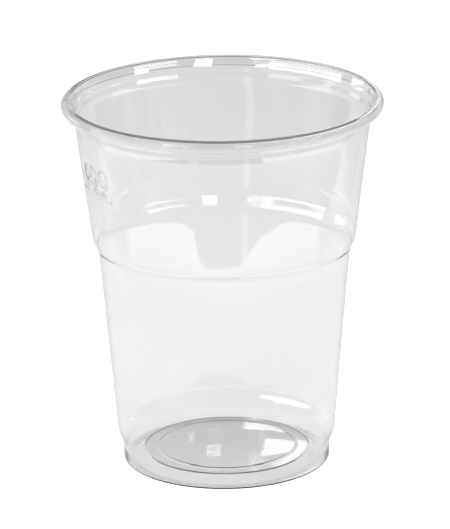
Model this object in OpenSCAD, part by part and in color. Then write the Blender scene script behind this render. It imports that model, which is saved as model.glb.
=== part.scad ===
// Clear disposable drinking cup, 0.4 litre, with a rolled rim.
// One sheet of clear plastic, formed over a tool and curled at the rim, so it is one solid.
// The whole cup is one revolved section: a line that follows the outside skin from the middle of
// the base to the trimmed lip of the curl, given the sheet's thickness towards the inside.
// Millimetres, +Z up, the origin at the middle of the base on the table.

/* [Rim] */
// Outside diameter over the rolled rim
rim_d = 95; // [75:1:120]
// Height of the whole cup
cup_h = 111.6; // [90:0.1:150]
// Height and depth of the rolled bead, which stays open towards the neck
bead_d = 3.8; // [3:0.1:5]
// Rounding of the crest on the side of the mouth
crest_r = 1.25; // [1:0.05:1.8]
// How far the sheet is curled from the crest, outward and down, in degrees
curl_turn = 150; // [100:5:200]
// How far the outside of the neck stands in from the rim
neck_in = 3.6; // [3.4:0.1:6]
// Distance from the top of the cup down to the foot of the flare under the crest
flare_h = 3.9; // [3:0.1:6]
// Rounding at the foot of the flare
flare_round = 1.5; // [0.5:0.1:3]

/* [Lid step] */
// Distance from the top of the cup down to the lid step
neck_h = 4.9; // [4.5:0.1:12]
// How far the lid step goes in
neck_step = 0.5; // [0.3:0.1:2]
// Height of the lid step
neck_step_h = 1.4; // [1:0.1:4]
// Height of the upright wall under the lid step
land_h = 1.6; // [0.5:0.1:5]
// Rounding of the lid step
neck_round = 0.9; // [0.5:0.1:1.5]

/* [Upper wall] */
// Lean of the upper wall from upright, in degrees
upper_draft = 7.1; // [1:0.1:10]
// Height of the stacking shoulder's lower edge above the table
shoulder_z = 65.3; // [40:0.1:95]
// How far the shoulder goes in
shoulder_in = 1.9; // [0.8:0.1:4]
// Height of the shoulder
shoulder_h = 4.2; // [2:0.1:8]
// Rounding of the shoulder's upper edge
shoulder_top_round = 6; // [0.6:0.1:6]
// Rounding of the shoulder's lower edge, which is soft
shoulder_low_round = 12; // [1:0.5:20]

/* [Lower wall] */
// Lean of the lower wall from upright, in degrees
lower_draft = 4.85; // [1:0.05:8]
// Height of the heel's lower edge above the table
heel_z = 5; // [3.5:0.1:20]
// How far the heel goes in
heel_in = 1.6; // [0.6:0.1:3]
// Height of the heel
heel_h = 3.9; // [2:0.1:8]
// Rounding of the heel's two edges
heel_round = 8; // [0.6:0.1:14]

/* [Base] */
// Outer rounding of the foot
foot_round = 0.6; // [0.5:0.1:2]
// Width of the flat ring that the cup stands on
foot_flat = 2.6; // [1.5:0.1:5]
// Height of the raised panel above the table
panel_z = 2.4; // [1:0.1:4]
// How far the side of the panel leans in
panel_lean = 3.4; // [1.2:0.1:5]
// Rounding of the panel's edge on the underside
panel_round = 0.5; // [0.2:0.1:1.5]
// Width of the flat border round the middle of the panel
border_w = 3; // [2:0.1:8]
// Height of the middle disc above that border
disc_step = 0.3; // [0.2:0.1:1.2]
// How far the side of the middle disc leans in
disc_lean = 0.9; // [0.4:0.1:2]
// Crown of the middle disc
crown_h = 0.5; // [0.2:0.1:2]
// Rounding of the other corners of the base
base_round = 0.8; // [0.7:0.1:1.5]

/* [Sheet] */
// Thickness of the wall
wall_t = 0.3; // [0.2:0.02:0.5]
// Thickness of the neck
rim_t = 0.5; // [0.3:0.05:0.8]
// Thickness at the crest, where the curl gathers the sheet
crest_t = 0.65; // [0.3:0.05:1]
// Thickness at the trimmed lip of the curl
lip_t = 0.15; // [0.1:0.05:0.6]
// Thickness of the foot
foot_t = 0.5; // [0.3:0.05:0.5]
// Thickness of the base
base_t = 0.6; // [0.3:0.05:0.7]

/* [Hidden] */
$fn = 180;
// Largest turn of one step along a round stretch, in degrees
arc_step = 10;

// Rim and neck, from the top down. The flare touches the crest's rounding on the outside skin.
bead_r = bead_d / 2;
curl_mid = [rim_d / 2 - bead_r, cup_h - bead_r];
crest_mid = [curl_mid.x, cup_h - crest_r];
neck_foot = [rim_d / 2 - neck_in, cup_h - neck_h];
flare_foot = [neck_foot.x, cup_h - flare_h];
flare_run = crest_mid - flare_foot;
flare = atan2(flare_run.x, flare_run.y) - asin((crest_r - rim_t) / norm(flare_run));
flare_top = crest_mid + [-cos(flare), sin(flare)] * (crest_r - rim_t);
step_foot = neck_foot - [neck_step, neck_step_h];
wall_top = step_foot - [0, land_h];

// Walls, shoulder and heel, each lean worked out from the edge above it
shoulder_top_z = shoulder_z + shoulder_h;
shoulder_top = [wall_top.x - (wall_top.y - shoulder_top_z) * tan(upper_draft), shoulder_top_z];
shoulder_low = [shoulder_top.x - shoulder_in, shoulder_z];
heel_top_z = heel_z + heel_h;
heel_top = [shoulder_low.x - (shoulder_z - heel_top_z) * tan(lower_draft), heel_top_z];
base_r = heel_top.x - heel_in;

// Foot and base panel, from the outside in
flat_r = base_r - foot_round - foot_flat;
panel_r = flat_r - panel_lean;
disc_r = panel_r - border_w;
disc_top = [disc_r - disc_lean, panel_z + disc_step];
crown_r = (pow(disc_top.x, 2) + pow(crown_h, 2)) / (2 * crown_h);
crown_turn = asin(disc_top.x / crown_r);

// A bearing turned a quarter to the left points from the outside skin to the inside skin
function along(a, b) = (b - a) / norm(b - a);
function left(v) = [-v.y, v.x];
function bearing(v) = atan2(v.y, v.x);
function turn(a, b, c) =
    let (t = bearing(c - b) - bearing(b - a)) t > 180 ? t - 360 : t < -180 ? t + 360 : t;

// A corner of the skin as [point, inward direction, thickness] for each step of its rounding.
// The rounding takes up at most 0.48 of each side, so that two corners never overlap.
function corner(a, b, c, round_r, t) =
    let (w = turn(a, b, c),
         half = tan(abs(w) / 2),
         reach = min(round_r * half, 0.48 * norm(b - a), 0.48 * norm(c - b)),
         r = reach / half,
         side = sign(w),
         start = b - along(a, b) * reach,
         mid = start + left(along(a, b)) * r * side,
         from = bearing(b - a) + 90,
         n = max(2, ceil(abs(w) / arc_step)))
    [for (i = [0 : n])
        let (d = from + w * i / n, inward = [cos(d), sin(d)])
        [mid - inward * r * side, inward, t]];

// A point of the curl, with its radius taken on the inside skin and an eased share of the way
// from one thickness to the other
function ease(s) = s * s * (3 - 2 * s);
function curled(mid, r, d, t0, t1, s) =
    let (inward = [cos(d), sin(d)], t = t0 + (t1 - t0) * ease(s))
    [mid + inward * (r - t), inward, t];

// Corners of the outside skin: [radius, height], rounding, thickness
outline = [
    [[disc_top.x, disc_top.y], base_round, base_t],
    [[disc_r, panel_z], base_round, base_t],
    [[panel_r, panel_z], panel_round, base_t],
    [[flat_r, 0], base_round, base_t],
    [[base_r, 0], foot_round, foot_t],
    [[base_r, heel_z], heel_round, wall_t],
    [heel_top, heel_round, wall_t],
    [shoulder_low, shoulder_low_round, wall_t],
    [shoulder_top, shoulder_top_round, wall_t],
    [wall_top, neck_round, wall_t],
    [step_foot, neck_round, wall_t],
    [neck_foot, neck_round, rim_t],
    [flare_foot, flare_round, rim_t],
    [flare_top, 0, rim_t],
];

// The crown of the base, from the axis out to the edge of the middle disc
crown_steps = ceil(crown_turn * 2);
crown_mid_z = disc_top.y + crown_h - crown_r;
crown = [for (i = [0 : crown_steps - 1])
    let (d = 90 - crown_turn * i / crown_steps, inward = [cos(d), sin(d)])
    [[0, crown_mid_z] + inward * crown_r, inward, base_t]];

// The edge of the middle disc, rounded from the crown into the disc's side
crown_edge = corner(crown[crown_steps - 1][0], outline[0][0], outline[1][0], outline[0][1], outline[0][2]);

// The foot, walls, neck and flare
last = len(outline) - 1;
wall = [for (i = [1 : last - 1])
    each corner(outline[i - 1][0], outline[i][0], outline[i + 1][0], outline[i][1], outline[i][2])];

// The crest, from the flare up to the top
crest_turn = 90 - flare;
crest_steps = ceil(crest_turn / arc_step);
crest = [for (i = [0 : crest_steps])
    let (s = i / crest_steps) curled(crest_mid, crest_r, 180 - flare - crest_turn * s, rim_t, crest_t, s)];

// The bead, from the top outward to the lip, with a step on its widest point
bead_turns = concat([for (d = [arc_step : arc_step : curl_turn - arc_step / 2]) d], [curl_turn]);
bead = [for (d = bead_turns) curled(curl_mid, bead_r, 90 - d, crest_t, lip_t, d / curl_turn)];

skin = concat(crown, crown_edge, wall, crest, bead);
outside = [for (p = skin) p[0]];
inside = [for (i = [len(skin) - 1 : -1 : 0]) skin[i][0] + skin[i][1] * skin[i][2]];

module cup() {
    color([0.86, 0.88, 0.88, 0.4])
        rotate_extrude()
            polygon(concat(outside, inside));
}

cup();
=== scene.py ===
import math
import bpy
from mathutils import Matrix, Quaternion, Vector


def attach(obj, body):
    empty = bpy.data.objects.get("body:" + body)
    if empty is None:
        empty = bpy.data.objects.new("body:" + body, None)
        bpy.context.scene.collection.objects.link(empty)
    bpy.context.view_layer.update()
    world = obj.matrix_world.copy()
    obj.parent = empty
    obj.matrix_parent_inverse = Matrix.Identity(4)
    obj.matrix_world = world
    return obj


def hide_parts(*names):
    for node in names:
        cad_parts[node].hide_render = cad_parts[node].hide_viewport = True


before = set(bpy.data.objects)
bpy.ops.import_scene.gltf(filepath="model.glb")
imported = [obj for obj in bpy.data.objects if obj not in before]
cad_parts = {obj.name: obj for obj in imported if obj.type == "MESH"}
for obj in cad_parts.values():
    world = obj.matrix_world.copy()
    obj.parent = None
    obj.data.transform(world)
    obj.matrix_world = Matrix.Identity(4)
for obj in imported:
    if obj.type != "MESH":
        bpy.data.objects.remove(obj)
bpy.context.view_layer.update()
MM = 0.001


# The view. The cup is seen from 18 degrees above the table through a long lens, with the picture
# turned by three quarters of a degree. The lens is given as pixels of the 450 x 529 frame.
FRAME_TALL_PX = 529
SENSOR_MM = 36.0
view_height = 18.12
view_distance = 1450 * MM
view_lens_px = 4887.5
view_roll = -0.728
view_aim = Vector((0.16, 0.0, 59.73)) * MM

camera_data = bpy.data.cameras.new("camera")
camera_data.sensor_width = SENSOR_MM
camera_data.lens = view_lens_px * SENSOR_MM / FRAME_TALL_PX
camera_data.clip_start = 0.05
camera_data.clip_end = 50.0
camera = bpy.data.objects.new("camera", camera_data)
bpy.context.collection.objects.link(camera)
tilt = math.radians(view_height)
roll = math.radians(view_roll)
ahead = Vector((0.0, math.cos(tilt), -math.sin(tilt)))
level = Vector((1.0, 0.0, 0.0))
upward = level.cross(ahead)
cam_x = level * math.cos(roll) + upward * math.sin(roll)
cam_y = upward * math.cos(roll) - level * math.sin(roll)
turned = Matrix((cam_x, cam_y, -ahead)).transposed()
camera.matrix_world = Matrix.Translation(view_aim - ahead * view_distance) @ turned.to_4x4()
bpy.context.scene.camera = camera
bpy.context.scene.view_settings.view_transform = "Standard"


# The cup. One sheet of clear PET is drawn warm over a tool and its rim is curled outward, so the
# wall is thin, a little wavy between the tool's edges, and thicker in the base and the rim.
# It is one revolved skin, in millimetres: points along the sheet's section, turned round the axis.
rim_r = 47.5
cup_h = 111.6
bead_d = 3.8
crest_r = 1.25
curl_turn = 150.0
neck_in = 3.6
flare_h = 3.9
neck_h = 4.9
neck_step = 0.5
neck_step_h = 1.4
land_h = 1.6
upper_draft = math.radians(7.1)
shoulder_z = 65.3
shoulder_in = 1.9
shoulder_h = 4.2
lower_draft = math.radians(4.85)
heel_z = 5.0
heel_in = 1.6
heel_h = 3.9
foot_flat = 2.6
panel_z = 2.4
panel_lean = 3.4
border_w = 3.0
disc_step = 0.3
disc_lean = 0.9
crown_h = 0.5
rim_t = 0.5
crest_t = 0.65
lip_t = 0.15
wall_t = 0.3
foot_t = 0.5
base_t = 0.6

# Roundings of the section
flare_round = 1.5
neck_round = 0.9
shoulder_top_round = 6.0
shoulder_low_round = 12.0
heel_round = 8.0
foot_round = 0.6
panel_round = 0.5
base_round = 0.8
# The most of a side of the section that the rounding of a corner takes up
side_share = 0.48

# The moulded level mark, on the left of the cup: a line and plain figures, raised on the wall
mark_turn = math.radians(-154.0)
mark_line_z = 87.8
mark_figures_z = 89.9
figure_h = 5.4
figure_w = 3.6
figure_gap = 1.9
nought_sides = 24
line_over = 1.5
mark_half_w = 0.38
mark_edge = 0.35
mark_raise = 0.38
mark_r = 41.6

# Waves of the wall: broad ones, and draw lines that run down it, both fading out at its ends
wave_size, wave_tall = 20.0, 45.0
line_size, line_tall = 7.0, 120.0
ripple = 0.60
draw_line = 0.06
wave_fade = 8.0
wave_seed = 4.0

# The joint of the two halves of the tool, a fine groove round the middle of the shoulder
groove_z = 67.4
groove_half = 0.5
groove_depth = 0.06

# Steps of the skin: round stretches and the finer ones of the shoulder, the crown of the base, the
# turns of the points that round the trimmed lip, the walls, and the finer steps at the mark
arc_step = math.radians(9.0)
shoulder_step = math.radians(2.5)
fewest_steps = 3
crown_steps = 6
lip_turns = (20.0, 55.0, 90.0, 125.0, 160.0)
wall_step = 4.0
mark_step = 0.35
mark_low, mark_high = 86.6, 96.6
mark_window = math.radians(40.0)
mark_columns = 130
other_columns = 180
merge_within = 0.01


def corner(before, at, after, rounding, thickness, step):
    """Rows of one rounded corner of the section: point, direction to the inside, thickness."""
    come = (at - before).normalized()
    go = (after - at).normalized()
    turn = math.atan2(come.x * go.y - come.y * go.x, come.dot(go))
    half = math.tan(abs(turn) / 2)
    reach = min(rounding * half, side_share * (at - before).length, side_share * (after - at).length)
    radius = math.copysign(reach / half, turn)
    middle = at - come * reach + Vector((-come.y, come.x)) * radius
    first = math.atan2(come.x, -come.y)
    steps = max(fewest_steps, math.ceil(abs(turn) / step))
    rows = []
    for i in range(steps + 1):
        bearing = first + turn * i / steps
        inward = Vector((math.cos(bearing), math.sin(bearing)))
        rows.append((middle - inward * radius, inward, thickness))
    return rows


def between(start, end, heights):
    """Rows at the given heights on the straight line from one row to another."""
    low, high = start[0], end[0]
    rows = []
    for z in heights:
        share = (z - low.y) / (high.y - low.y)
        rows.append((low.lerp(high, share), start[1], start[2] + (end[2] - start[2]) * share))
    return rows


def wall_heights(low, high):
    """Heights of the rows of a straight wall, closer together where the mark is."""
    heights = [low]
    while heights[-1] < high:
        fine = mark_low <= heights[-1] < mark_high
        heights.append(heights[-1] + (mark_step if fine else wall_step))
        if heights[-2] < mark_low < heights[-1]:
            heights[-1] = mark_low
    return heights[1:-1]


# The rim's curl and the corners of the outside skin, from the rim down
bead_r = bead_d / 2
curl_mid = Vector((rim_r - bead_r, cup_h - bead_r))
crest_mid = Vector((curl_mid.x, cup_h - crest_r))
neck_foot = Vector((rim_r - neck_in, cup_h - neck_h))
flare_foot = Vector((neck_foot.x, cup_h - flare_h))
flare_run = crest_mid - flare_foot
flare = math.atan2(flare_run.x, flare_run.y) - math.asin((crest_r - rim_t) / flare_run.length)
flare_top = crest_mid + Vector((-math.cos(flare), math.sin(flare))) * (crest_r - rim_t)
step_foot = neck_foot + Vector((-neck_step, -neck_step_h))
wall_top = step_foot - Vector((0.0, land_h))
shoulder_top_z = shoulder_z + shoulder_h
upper_run = (wall_top.y - shoulder_top_z) * math.tan(upper_draft)
shoulder_top = Vector((wall_top.x - upper_run, shoulder_top_z))
shoulder_low = shoulder_top + Vector((-shoulder_in, -shoulder_h))
heel_top_z = heel_z + heel_h
lower_run = (shoulder_z - heel_top_z) * math.tan(lower_draft)
heel_top = Vector((shoulder_low.x - lower_run, heel_top_z))
heel_low = heel_top + Vector((-heel_in, -heel_h))
foot = Vector((heel_low.x, 0.0))
flat_in = foot - Vector((foot_round + foot_flat, 0.0))
panel_edge = Vector((flat_in.x - panel_lean, panel_z))
disc_foot = panel_edge - Vector((border_w, 0.0))
disc_top = disc_foot + Vector((-disc_lean, disc_step))
crown_r = (disc_top.x ** 2 + crown_h ** 2) / (2 * crown_h)
crown_mid = Vector((0.0, disc_top.y + crown_h - crown_r))
crown_turn = math.asin(disc_top.x / crown_r)

# The rows of the skin: the crown of the base, the corners and walls, then the crest and the bead
skin = []
for i in range(crown_steps):
    bearing = math.pi / 2 - crown_turn * i / crown_steps
    inward = Vector((math.cos(bearing), math.sin(bearing)))
    skin.append((crown_mid + inward * crown_r, inward, base_t))
corners = [
    (disc_top, base_round, base_t),
    (disc_foot, base_round, base_t),
    (panel_edge, panel_round, base_t),
    (flat_in, base_round, base_t),
    (foot, foot_round, foot_t),
    (heel_low, heel_round, wall_t),
    (heel_top, heel_round, wall_t),
    (shoulder_low, shoulder_low_round, wall_t),
    (shoulder_top, shoulder_top_round, wall_t),
    (wall_top, neck_round, wall_t),
    (step_foot, neck_round, wall_t),
    (neck_foot, neck_round, rim_t),
    (flare_foot, flare_round, rim_t),
]
groove_heights = (groove_z, groove_z + groove_half / 2, groove_z + groove_half)
places = [skin[-1][0]] + [at for at, rounding, thickness in corners] + [flare_top]
for i, (at, rounding, thickness) in enumerate(corners):
    step = shoulder_step if at in (shoulder_low, shoulder_top) else arc_step
    rows = corner(places[i], at, places[i + 2], rounding, thickness, step)
    if at in (shoulder_low, wall_top):
        skin += between(skin[-1], rows[0], wall_heights(skin[-1][0].y, rows[0][0].y))
    if at == shoulder_top:
        skin += between(skin[-1], rows[0], groove_heights)
    skin += rows
crest = math.pi / 2
curl_end = crest - math.radians(curl_turn)
for middle, radius, first, last, first_t, last_t in (
        (crest_mid, crest_r, math.pi - flare, crest, rim_t, crest_t),
        (curl_mid, bead_r, crest, curl_end, crest_t, lip_t)):
    curl_steps = math.ceil((first - last) / arc_step)
    for i in range(curl_steps + 1):
        share = i / curl_steps
        bearing = first + (last - first) * share
        inward = Vector((math.cos(bearing), math.sin(bearing)))
        thickness = first_t + (last_t - first_t) * share * share * (3 - 2 * share)
        skin.append((middle + inward * (radius - thickness), inward, thickness))

# The trimmed lip is rounded over the sheet's thickness, from the outside skin to the inside skin
lip_at, lip_inward, lip_end_t = skin[-1]
onward = Vector((lip_inward.y, -lip_inward.x))
lip = []
for degrees in lip_turns:
    a = math.radians(degrees)
    lip.append(lip_at + (lip_inward * (1 - math.cos(a)) + onward * math.sin(a)) * lip_end_t / 2)
line = [at for at, inward, thickness in skin] + lip
line += [at + inward * thickness for at, inward, thickness in reversed(skin)]

section = bpy.data.meshes.new("cup_section")
section_points = [(p.x * MM, 0.0, p.y * MM) for p in line]
section.from_pydata(section_points, [(i, i + 1) for i in range(len(line) - 1)], [])

# The figures of the mark, drawn flat as single strokes: 4, then two noughts, over the level line
figure_4 = [[(0.72, 0.0), (0.72, 1.0), (0.0, 0.32), (1.0, 0.32)]]
nought_turns = [math.tau * i / nought_sides for i in range(nought_sides + 1)]
nought = [[(0.5 + 0.5 * math.sin(a), 0.5 + 0.5 * math.cos(a)) for a in nought_turns]]
strokes = []
figures_w = 3 * figure_w + 2 * figure_gap
for place, figure in enumerate((figure_4, nought, nought)):
    left = place * (figure_w + figure_gap) - figures_w / 2
    strokes += [[(left + x * figure_w, mark_figures_z + z * figure_h) for x, z in part] for part in figure]
line_half = figures_w / 2 + line_over
strokes.append([(-line_half, mark_line_z), (line_half, mark_line_z)])
points, edges = [], []
for part in strokes:
    edges += [(len(points) + i, len(points) + i + 1) for i in range(len(part) - 1)]
    points += [(x * MM, 0.0, z * MM) for x, z in part]
mark_lines = bpy.data.meshes.new("mark_lines")
mark_lines.from_pydata(points, edges, [])
mark_object = bpy.data.objects.new("mark_lines", mark_lines)
bpy.context.collection.objects.link(mark_object)


def linear(code):
    """An sRGB hex colour as the linear colour that a shader takes."""
    parts = [int(code[i:i + 2], 16) / 255 for i in (1, 3, 5)]
    return [c / 12.92 if c <= 0.04045 else ((c + 0.055) / 1.055) ** 2.4 for c in parts] + [1.0]


def add(tree, kind, inputs=(), **settings):
    """Adds a node with its settings, and its inputs set to a value or linked to another output."""
    made = tree.nodes.new(kind)
    for name, value in settings.items():
        setattr(made, name, value)
    for socket, value in dict(inputs).items():
        if isinstance(value, bpy.types.NodeSocket):
            tree.links.new(value, made.inputs[socket])
        else:
            made.inputs[socket].default_value = value
    return made


# Clear PET sheet, formed and not polished: a glassy surface with a very slight haze, and faint
# draw lines down the wall where the warm sheet slid over the tool. It is colourless.
draw_pitch = 2.38
draw_stretch = 0.06
draw_depth = 0.02
haze_patch = 16.7
haze_least, haze_most = 0.01, 0.03
pet_ior = 1.575
pet = bpy.data.materials.new("clear_formed_pet")
pet.use_nodes = True
pet.node_tree.nodes.clear()
shade = pet.node_tree
spot = add(shade, "ShaderNodeTexCoord")
drawn = add(shade, "ShaderNodeMapping", {
    "Vector": spot.outputs["Object"], "Scale": (1.0, 1.0, draw_stretch)})
lines = add(shade, "ShaderNodeTexNoise", {
    "Vector": drawn.outputs[0], "Scale": 1 / (draw_pitch * MM), "Detail": 2.0})
bump = add(shade, "ShaderNodeBump", {
    "Strength": 0.12, "Distance": draw_depth * MM, "Height": lines.outputs["Fac"]})
haze = add(shade, "ShaderNodeTexNoise", {
    "Vector": spot.outputs["Object"], "Scale": 1 / (haze_patch * MM), "Detail": 3.0})
rough = add(shade, "ShaderNodeMapRange", {
    "Value": haze.outputs["Fac"], "To Min": haze_least, "To Max": haze_most})
sheet = add(shade, "ShaderNodeBsdfPrincipled", {
    "Base Color": linear("#FCFCFC"), "Roughness": rough.outputs[0], "IOR": pet_ior,
    "Transmission Weight": 1.0, "Normal": bump.outputs[0]})
rays = add(shade, "ShaderNodeLightPath")
through = add(shade, "ShaderNodeBsdfTransparent", {"Color": linear("#F3F3F3")})
either = add(shade, "ShaderNodeMixShader", {
    0: rays.outputs["Is Shadow Ray"], 1: sheet.outputs[0], 2: through.outputs[0]})
add(shade, "ShaderNodeOutputMaterial", {"Surface": either.outputs[0]})

# The tree that turns the section. Rows of a grid take their radius and height from the section,
# and its columns their angle, which is finer where the mark is.
turner = bpy.data.node_groups.new("turn_cup", "GeometryNodeTree")
sockets = {}
for name, kind, value in (
        ("Section", "NodeSocketGeometry", None),
        ("Mark lines", "NodeSocketObject", mark_object),
        ("Mark columns", "NodeSocketInt", mark_columns),
        ("Other columns", "NodeSocketInt", other_columns),
        ("Mark turn", "NodeSocketFloat", mark_turn),
        ("Mark window", "NodeSocketFloat", mark_window),
        ("Mark radius", "NodeSocketFloat", mark_r * MM),
        ("Mark half width", "NodeSocketFloat", mark_half_w * MM),
        ("Mark edge", "NodeSocketFloat", mark_edge * MM),
        ("Mark raise", "NodeSocketFloat", mark_raise * MM),
        ("Groove height", "NodeSocketFloat", groove_z * MM),
        ("Groove half", "NodeSocketFloat", groove_half * MM),
        ("Groove depth", "NodeSocketFloat", groove_depth * MM),
        ("Ripple", "NodeSocketFloat", ripple * MM),
        ("Draw line", "NodeSocketFloat", draw_line * MM),
        ("Seed", "NodeSocketFloat", wave_seed),
        ("Sheet", "NodeSocketMaterial", pet)):
    sockets[name] = (turner.interface.new_socket(name, in_out="INPUT", socket_type=kind), value)
turner.interface.new_socket("Cup", in_out="OUTPUT", socket_type="NodeSocketGeometry")
given = add(turner, "NodeGroupInput").outputs
row_count = add(turner, "GeometryNodeAttributeDomainSize", {
    0: given["Section"]}, component="MESH").outputs[0]
columns = add(turner, "ShaderNodeMath", {0: given["Mark columns"], 1: given["Other columns"]}).outputs[0]
points_across = add(turner, "ShaderNodeMath", {0: columns, 1: 1.0}).outputs[0]
grid = add(turner, "GeometryNodeMeshGrid", {
    "Size X": 1.0, "Size Y": 1.0, "Vertices X": points_across, "Vertices Y": row_count})
flat = add(turner, "ShaderNodeSeparateXYZ", {0: add(turner, "GeometryNodeInputPosition").outputs[0]})
across = add(turner, "ShaderNodeMath", {0: flat.outputs["X"], 1: 0.5}).outputs[0]
along = add(turner, "ShaderNodeMath", {0: flat.outputs["Y"], 1: 0.5}).outputs[0]
last_row = add(turner, "ShaderNodeMath", {0: row_count, 1: 1.0}, operation="SUBTRACT").outputs[0]
row = add(turner, "ShaderNodeMath", {0: along, 1: last_row}, operation="MULTIPLY").outputs[0]
row = add(turner, "ShaderNodeMath", {0: row}, operation="ROUND").outputs[0]
taken = add(turner, "GeometryNodeSampleIndex", {
    "Geometry": given["Section"], "Value": add(turner, "GeometryNodeInputPosition").outputs[0],
    "Index": row}, data_type="FLOAT_VECTOR")
spot = add(turner, "ShaderNodeSeparateXYZ", {0: taken.outputs[0]})
radius, height = spot.outputs["X"], spot.outputs["Z"]

share = add(turner, "ShaderNodeMath", {0: given["Mark columns"], 1: columns}, operation="DIVIDE").outputs[0]
rest = add(turner, "ShaderNodeMath", {0: math.tau, 1: given["Mark window"]}, operation="SUBTRACT").outputs[0]
fine = add(turner, "ShaderNodeMapRange", {
    "Value": across, "From Max": share, "To Max": given["Mark window"]}).outputs[0]
coarse = add(turner, "ShaderNodeMapRange", {
    "Value": across, "From Min": share, "From Max": 1.0, "To Max": rest}).outputs[0]
half_window = add(turner, "ShaderNodeMath", {
    0: given["Mark window"], 1: 0.5}, operation="MULTIPLY").outputs[0]
from_mark = add(turner, "ShaderNodeMath", {0: fine, 1: coarse}).outputs[0]
from_mark = add(turner, "ShaderNodeMath", {0: from_mark, 1: half_window}, operation="SUBTRACT").outputs[0]
angle = add(turner, "ShaderNodeMath", {0: from_mark, 1: given["Mark turn"]}).outputs[0]
cosine = add(turner, "ShaderNodeMath", {0: angle}, operation="COSINE").outputs[0]
sine = add(turner, "ShaderNodeMath", {0: angle}, operation="SINE").outputs[0]

# The raised mark: how near a point of the wall, rolled out flat, lies to the strokes
rolled = add(turner, "ShaderNodeMath", {
    0: from_mark, 1: given["Mark radius"]}, operation="MULTIPLY").outputs[0]
rolled_at = add(turner, "ShaderNodeCombineXYZ", {"X": rolled, "Z": height}).outputs[0]
drawn = add(turner, "GeometryNodeObjectInfo", {"Object": given["Mark lines"]})
near = add(turner, "GeometryNodeProximity", {
    "Target": drawn.outputs["Geometry"], "Source Position": rolled_at}, target_element="EDGES")
far_edge = add(turner, "ShaderNodeMath", {0: given["Mark half width"], 1: given["Mark edge"]}).outputs[0]
raised = add(turner, "ShaderNodeMapRange", {
    "Value": near.outputs["Distance"], "From Min": given["Mark half width"], "From Max": far_edge,
    "To Min": given["Mark raise"], "To Max": 0.0}, interpolation_type="SMOOTHSTEP").outputs[0]

# The wall's waves, wide ones and fine draw lines, which die out at the heel and at the neck
low_fade = add(turner, "ShaderNodeMapRange", {
    "Value": height, "From Min": heel_top_z * MM, "From Max": (heel_top_z + wave_fade) * MM},
    interpolation_type="SMOOTHSTEP").outputs[0]
top_fade = add(turner, "ShaderNodeMapRange", {
    "Value": height, "From Min": wall_top.y * MM, "From Max": (wall_top.y - wave_fade) * MM},
    interpolation_type="SMOOTHSTEP").outputs[0]
fade = add(turner, "ShaderNodeMath", {0: low_fade, 1: top_fade}, operation="MULTIPLY").outputs[0]
waves = []
for size, stretched, depth in ((wave_size, wave_tall, "Ripple"), (line_size, line_tall, "Draw line")):
    squeezed = add(turner, "ShaderNodeMath", {
        0: height, 1: size / stretched}, operation="MULTIPLY").outputs[0]
    at = add(turner, "ShaderNodeCombineXYZ", {
        "X": add(turner, "ShaderNodeMath", {0: cosine, 1: mark_r * MM}, operation="MULTIPLY").outputs[0],
        "Y": add(turner, "ShaderNodeMath", {0: sine, 1: mark_r * MM}, operation="MULTIPLY").outputs[0],
        "Z": squeezed}).outputs[0]
    noise = add(turner, "ShaderNodeTexNoise", {
        "Vector": at, "W": given["Seed"], "Scale": 1 / (size * MM), "Detail": 1.0}, noise_dimensions="4D")
    centred = add(turner, "ShaderNodeMath", {
        0: noise.outputs["Fac"], 1: 0.5}, operation="SUBTRACT").outputs[0]
    waves.append(add(turner, "ShaderNodeMath", {
        0: centred, 1: given[depth]}, operation="MULTIPLY").outputs[0])
wave = add(turner, "ShaderNodeMath", {0: waves[0], 1: waves[1]}).outputs[0]
wave = add(turner, "ShaderNodeMath", {0: wave, 1: fade}, operation="MULTIPLY").outputs[0]
out_by = add(turner, "ShaderNodeMath", {0: raised, 1: wave}).outputs[0]

# The groove, on the outside skin only, which is the first half of the rows
from_groove = add(turner, "ShaderNodeMath", {
    0: height, 1: given["Groove height"]}, operation="SUBTRACT").outputs[0]
from_groove = add(turner, "ShaderNodeMath", {0: from_groove}, operation="ABSOLUTE").outputs[0]
groove = add(turner, "ShaderNodeMapRange", {
    "Value": from_groove, "From Max": given["Groove half"], "To Min": given["Groove depth"], "To Max": 0.0},
    interpolation_type="SMOOTHSTEP").outputs[0]
half_way = add(turner, "ShaderNodeMath", {0: last_row, 1: 0.5}, operation="MULTIPLY").outputs[0]
outside = add(turner, "ShaderNodeMath", {0: row, 1: half_way}, operation="LESS_THAN").outputs[0]
groove = add(turner, "ShaderNodeMath", {0: groove, 1: outside}, operation="MULTIPLY").outputs[0]
out_by = add(turner, "ShaderNodeMath", {0: out_by, 1: groove}, operation="SUBTRACT").outputs[0]
reach = add(turner, "ShaderNodeMath", {0: radius, 1: out_by}).outputs[0]
at = add(turner, "ShaderNodeCombineXYZ", {
    "X": add(turner, "ShaderNodeMath", {0: reach, 1: cosine}, operation="MULTIPLY").outputs[0],
    "Y": add(turner, "ShaderNodeMath", {0: reach, 1: sine}, operation="MULTIPLY").outputs[0],
    "Z": height}).outputs[0]
turned_grid = add(turner, "GeometryNodeSetPosition", {"Geometry": grid.outputs["Mesh"], "Position": at})
closed = add(turner, "GeometryNodeMergeByDistance", {
    "Geometry": turned_grid.outputs[0], "Distance": merge_within * MM})
smooth = add(turner, "GeometryNodeSetShadeSmooth", {"Geometry": closed.outputs[0]})
real = add(turner, "GeometryNodeRealizeInstances", {"Geometry": smooth.outputs[0]})
clothed = add(turner, "GeometryNodeSetMaterial", {"Geometry": real.outputs[0], "Material": given["Sheet"]})
add(turner, "NodeGroupOutput", {"Cup": clothed.outputs[0]})

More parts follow.
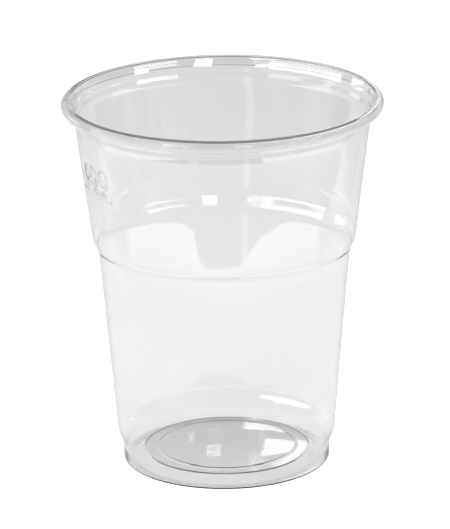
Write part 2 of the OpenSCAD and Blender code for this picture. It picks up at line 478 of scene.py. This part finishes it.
former = bpy.data.objects.new("former", section)
bpy.context.collection.objects.link(former)
turning = former.modifiers.new("turn", "NODES")
turning.node_group = turner
for socket, value in sockets.values():
    if value is not None:
        turning[socket.identifier] = value
cup_mesh = bpy.data.meshes.new_from_object(former.evaluated_get(bpy.context.evaluated_depsgraph_get()))
cup = bpy.data.objects.new("clear_cup", cup_mesh)
bpy.context.collection.objects.link(cup)
former.modifiers.remove(turning)
bpy.data.objects.remove(former)
bpy.data.objects.remove(mark_object)
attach(cup, "root")
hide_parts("cup")


# The table: a sheet of matt white paper under the cup, torn unevenly in front, on a wide grey
# bench. The camera sees all of it white, with the cup's soft shadow. Only the cup's reflections
# show where the sheet ends, and the bands of light painted on the bench beyond it. In metres.
table_r = 4.0
table_sides = 96
table_z = -0.05 * MM

# The sheet's edge: the turn in degrees from the front to the right, the distance from the cup
sheet_edge = (
    (-168.0, 2.2), (-155.0, 1.1), (-135.0, 0.64), (-110.0, 0.47), (-90.0, 0.405), (-60.0, 0.358),
    (-36.0, 0.335), (-21.0, 0.29), (-14.0, 0.275), (12.0, 0.275), (24.0, 0.285), (27.5, 0.32),
    (29.0, 0.355), (66.0, 0.36), (90.0, 0.40), (110.0, 0.48), (135.0, 0.64), (155.0, 1.1),
    (168.0, 2.2))
edge_soft = 0.004

# The bench and the bands of light painted on it: their turn and half their width in degrees, their level
bench_level = 0.20
light_bands = (
    (-129.0, 4.0, 0.6), (-110.0, 8.0, 0.02), (-78.0, 6.0, 0.38), (-50.0, 9.0, 0.26),
    (-21.0, 2.5, 1.0), (60.0, 3.0, 0.45), (81.0, 4.0, 0.5))
band_soft = 1.5

# The sheet: its colour by the distance behind the cup, a painted shade that greys it further back; its
# painted glow of lamp light in reflections by the distance all round; where its front begins; and what the
# camera sees above its plain level
sheet_near, sheet_far = 0.97, 0.91
grey_from, grey_to = 0.20, 0.36
foot_glow, front_glow = 0.05, 1.2
glow_from, glow_to = 0.19, 0.30
front_from, front_to = 0.10, 0.05
camera_glow = 0.8

table_mesh = bpy.data.meshes.new("table")
table_turns = [math.tau * i / table_sides for i in range(table_sides)]
table_rim = [(table_r * math.cos(a), table_r * math.sin(a), table_z) for a in table_turns]
table_mesh.from_pydata(table_rim, [], [tuple(range(table_sides))])
table = bpy.data.objects.new("table", table_mesh)
bpy.context.collection.objects.link(table)


def mirrored_by_cup(tree, rays):
    """1 on a ray that the cup has mirrored, also where the ray then passes through its sheet."""
    turned = add(tree, "ShaderNodeMath", {
        0: rays["Is Glossy Ray"], 1: rays["Is Transmission Ray"]}, operation="MAXIMUM").outputs[0]
    once = add(tree, "ShaderNodeMath", {
        0: rays["Glossy Depth"], 1: 1.0}, operation="MINIMUM").outputs[0]
    return add(tree, "ShaderNodeMath", {0: turned, 1: once}, operation="MULTIPLY").outputs[0]


# Matt paper: it scatters light, glows white for the camera, and carries a painted glow of lamp light seen
# only in the cup's reflections
paper = bpy.data.materials.new("matt_white_paper")
paper.use_nodes = True
paper.node_tree.nodes.clear()
shade = paper.node_tree
rays = add(shade, "ShaderNodeLightPath").outputs
spot = add(shade, "ShaderNodeTexCoord").outputs["Object"]
place = add(shade, "ShaderNodeSeparateXYZ", {0: spot})
away = add(shade, "ShaderNodeVectorMath", {0: spot}, operation="LENGTH").outputs["Value"]
in_front = add(shade, "ShaderNodeMapRange", {
    "Value": place.outputs["Y"], "From Min": front_from, "From Max": front_to}).outputs[0]
facing = add(shade, "ShaderNodeMath", {0: place.outputs["Y"], 1: -1.0}, operation="MULTIPLY").outputs[0]
turn = add(shade, "ShaderNodeMath", {0: place.outputs["X"], 1: facing}, operation="ARCTAN2").outputs[0]
turn = add(shade, "ShaderNodeMapRange", {
    "Value": turn, "From Min": -math.pi, "From Max": math.pi}).outputs[0]

# Where the sheet ends and the bench begins
edge = add(shade, "ShaderNodeValToRGB", {0: turn})
edge.color_ramp.elements[0].color = [1.0] * 4
edge.color_ramp.elements[1].color = [1.0] * 4
for degrees, distance in sheet_edge:
    stop = edge.color_ramp.elements.new((degrees + 180) / 360)
    stop.color = [distance / table_r] * 3 + [1.0]
edge = add(shade, "ShaderNodeMath", {0: edge.outputs[0], 1: table_r}, operation="MULTIPLY").outputs[0]
past = add(shade, "ShaderNodeMath", {0: away, 1: edge}, operation="SUBTRACT").outputs[0]
bench = add(shade, "ShaderNodeMapRange", {"Value": past, "From Max": edge_soft}).outputs[0]
mirrored = mirrored_by_cup(shade, rays)
bench = add(shade, "ShaderNodeMath", {0: bench, 1: mirrored}, operation="MULTIPLY").outputs[0]

# The painted bands of light across the bench, and the level of the sheet, painted darker further behind the
# cup, and the bench
bands = add(shade, "ShaderNodeValToRGB", {0: turn})
bands.color_ramp.elements[0].color = [bench_level] * 3 + [1.0]
bands.color_ramp.elements[1].color = [bench_level] * 3 + [1.0]
# Painted light: each band is a lighter level set in the bench's colour
for degrees, half, level in light_bands:
    past_half = half + band_soft
    for at, shown in ((-past_half, bench_level), (-half, level), (half, level), (past_half, bench_level)):
        stop = bands.color_ramp.elements.new((degrees + at + 180) / 360)
        stop.color = [shown] * 3 + [1.0]
# Painted shade: the sheet's colour greys from near to far behind the cup, in place of the light falling off
painted_shade_behind = add(shade, "ShaderNodeMapRange", {
    "Value": place.outputs["Y"], "From Min": grey_from, "From Max": grey_to,
    "To Min": sheet_near, "To Max": sheet_far}).outputs[0]
level = add(shade, "ShaderNodeMix", {
    "Factor": bench, "A": painted_shade_behind, "B": bands.outputs[0]}, data_type="FLOAT").outputs["Result"]
matt = add(shade, "ShaderNodeBsdfDiffuse", {"Color": level})

# Painted light: the sheet's front half glows brighter than white in the cup's reflections, a painted pool of
# lamp light
painted_lamp_pool = add(shade, "ShaderNodeMapRange", {
    "Value": away, "From Min": glow_from, "From Max": glow_to,
    "To Min": foot_glow, "To Max": front_glow}).outputs[0]
painted_lamp_pool = add(shade, "ShaderNodeMath", {0: painted_lamp_pool, 1: in_front}, operation="MULTIPLY").outputs[0]
# The painted glow shows only in the cup's reflections and only on the sheet, not on the bench
lit = add(shade, "ShaderNodeMath", {0: painted_lamp_pool, 1: mirrored}, operation="MULTIPLY").outputs[0]
paper_share = add(shade, "ShaderNodeMath", {0: 1.0, 1: bench}, operation="SUBTRACT").outputs[0]
lit = add(shade, "ShaderNodeMath", {0: lit, 1: paper_share}, operation="MULTIPLY").outputs[0]
seen = add(shade, "ShaderNodeMath", {
    0: rays["Is Camera Ray"], 1: camera_glow}, operation="MULTIPLY").outputs[0]
strength = add(shade, "ShaderNodeMath", {0: seen, 1: lit}).outputs[0]
glow = add(shade, "ShaderNodeEmission", {"Strength": strength})
both = add(shade, "ShaderNodeAddShader", {0: matt.outputs[0], 1: glow.outputs[0]})
add(shade, "ShaderNodeOutputMaterial", {"Surface": both.outputs[0]})
table_mesh.materials.append(paper)


# The room: white for the camera, also through the cup, and a little under white where it lights the
# table. In the cup's reflections it is dim in front and overhead, pale low down behind the cup, and
# pale higher up there on both sides of the middle.
lighting_level = 0.82
dim_level = 0.25
back_level = 0.95
flank_level = 0.85

# Where one level passes into the next, as parts of the direction to the back, to a side and up
back_from, back_to = -0.2, 0.8
flank_from, flank_to = 0.12, 0.30
high_back_from, high_back_to = 0.1, 0.5
high_from = 0.25

world = bpy.data.worlds.new("room")
bpy.context.scene.world = world
world.use_nodes = True
world.node_tree.nodes.clear()
shade = world.node_tree
rays = add(shade, "ShaderNodeLightPath").outputs
spot = add(shade, "ShaderNodeTexCoord")
toward = add(shade, "ShaderNodeSeparateXYZ", {0: spot.outputs["Generated"]})
low = add(shade, "ShaderNodeMapRange", {
    "Value": toward.outputs["Y"], "From Min": back_from, "From Max": back_to,
    "To Min": dim_level, "To Max": back_level}).outputs[0]
aside = add(shade, "ShaderNodeMath", {0: toward.outputs["X"]}, operation="ABSOLUTE").outputs[0]
flank = add(shade, "ShaderNodeMapRange", {
    "Value": aside, "From Min": flank_from, "From Max": flank_to,
    "To Min": dim_level, "To Max": flank_level}).outputs[0]
high = add(shade, "ShaderNodeMapRange", {
    "Value": toward.outputs["Y"], "From Min": high_back_from, "From Max": high_back_to,
    "To Min": dim_level, "To Max": flank}).outputs[0]
room_level = add(shade, "ShaderNodeMapRange", {
    "Value": toward.outputs["Z"], "From Max": high_from, "To Min": low, "To Max": high}).outputs[0]
straight = add(shade, "ShaderNodeMath", {
    0: rays["Is Camera Ray"], 1: rays["Is Transmission Ray"]}, operation="MAXIMUM").outputs[0]
level = add(shade, "ShaderNodeMix", {
    "Factor": straight, "A": lighting_level, "B": 1.0}, data_type="FLOAT").outputs["Result"]
level = add(shade, "ShaderNodeMix", {
    "Factor": mirrored_by_cup(shade, rays), "A": level, "B": room_level},
    data_type="FLOAT").outputs["Result"]
air = add(shade, "ShaderNodeBackground", {"Strength": level})
add(shade, "ShaderNodeOutputWorld", {"Surface": air.outputs[0]})


# The lamps: tall windows on the left, soft boxes and thin rim strips round the front, a ceiling
# panel and two small cards behind, all at one distance from the cup. They light the table evenly
# and draw the highlights of the rim, the shoulder, the heel and the base.
lamp_distance = 1.3

# Name, turn in degrees from the camera to the left, height in degrees, width and height in metres,
# roll in degrees, power in watts
for name, turn, high, width, tall, rolled, power in (
        ("window_back_left", 128, 11.5, 0.40, 0.18, 8, 0.5),
        ("window_far_left", 89, 16.3, 0.76, 0.24, 11.5, 1.9),
        ("window_left", 56, 23.0, 0.76, 0.24, 11.5, 2.0),
        ("box_left", 36, 39, 0.41, 0.227, 0, 1.75),
        ("rim_left", 35, 25.4, 0.33, 0.035, 0, 0.3),
        ("box_front", -14.5, 33.2, 0.27, 0.10, 0, 0.75),
        ("rim_front", -15.5, 27.1, 0.30, 0.04, 0, 0.36),
        ("box_right", -55.5, 27.4, 0.78, 0.066, -10.5, 0.97),
        ("rim_right", -67, 21.6, 0.26, 0.06, -9.5, 0.45),
        ("ceiling", 0, 89.9, 1.1, 1.1, 0, 1.5),
        ("card_back", -176.1, 21.6, 0.068, 0.10, 0, 0.040),
        ("card_back_low", -177.5, 15.2, 0.065, 0.06, 0, 0.018)):
    around, above = math.radians(turn), math.radians(high)
    level_part = math.cos(above)
    toward = Vector((-math.sin(around) * level_part, -math.cos(around) * level_part, math.sin(above)))
    lamp_data = bpy.data.lights.new(name, "AREA")
    lamp_data.shape = "RECTANGLE"
    lamp_data.size = width
    lamp_data.size_y = tall
    lamp_data.energy = power
    lamp = bpy.data.objects.new(name, lamp_data)
    bpy.context.collection.objects.link(lamp)
    lamp.location = toward * lamp_distance
    facing = toward.to_track_quat("Z", "Y") @ Quaternion((0, 0, 1), math.radians(rolled))
    lamp.rotation_euler = facing.to_euler()
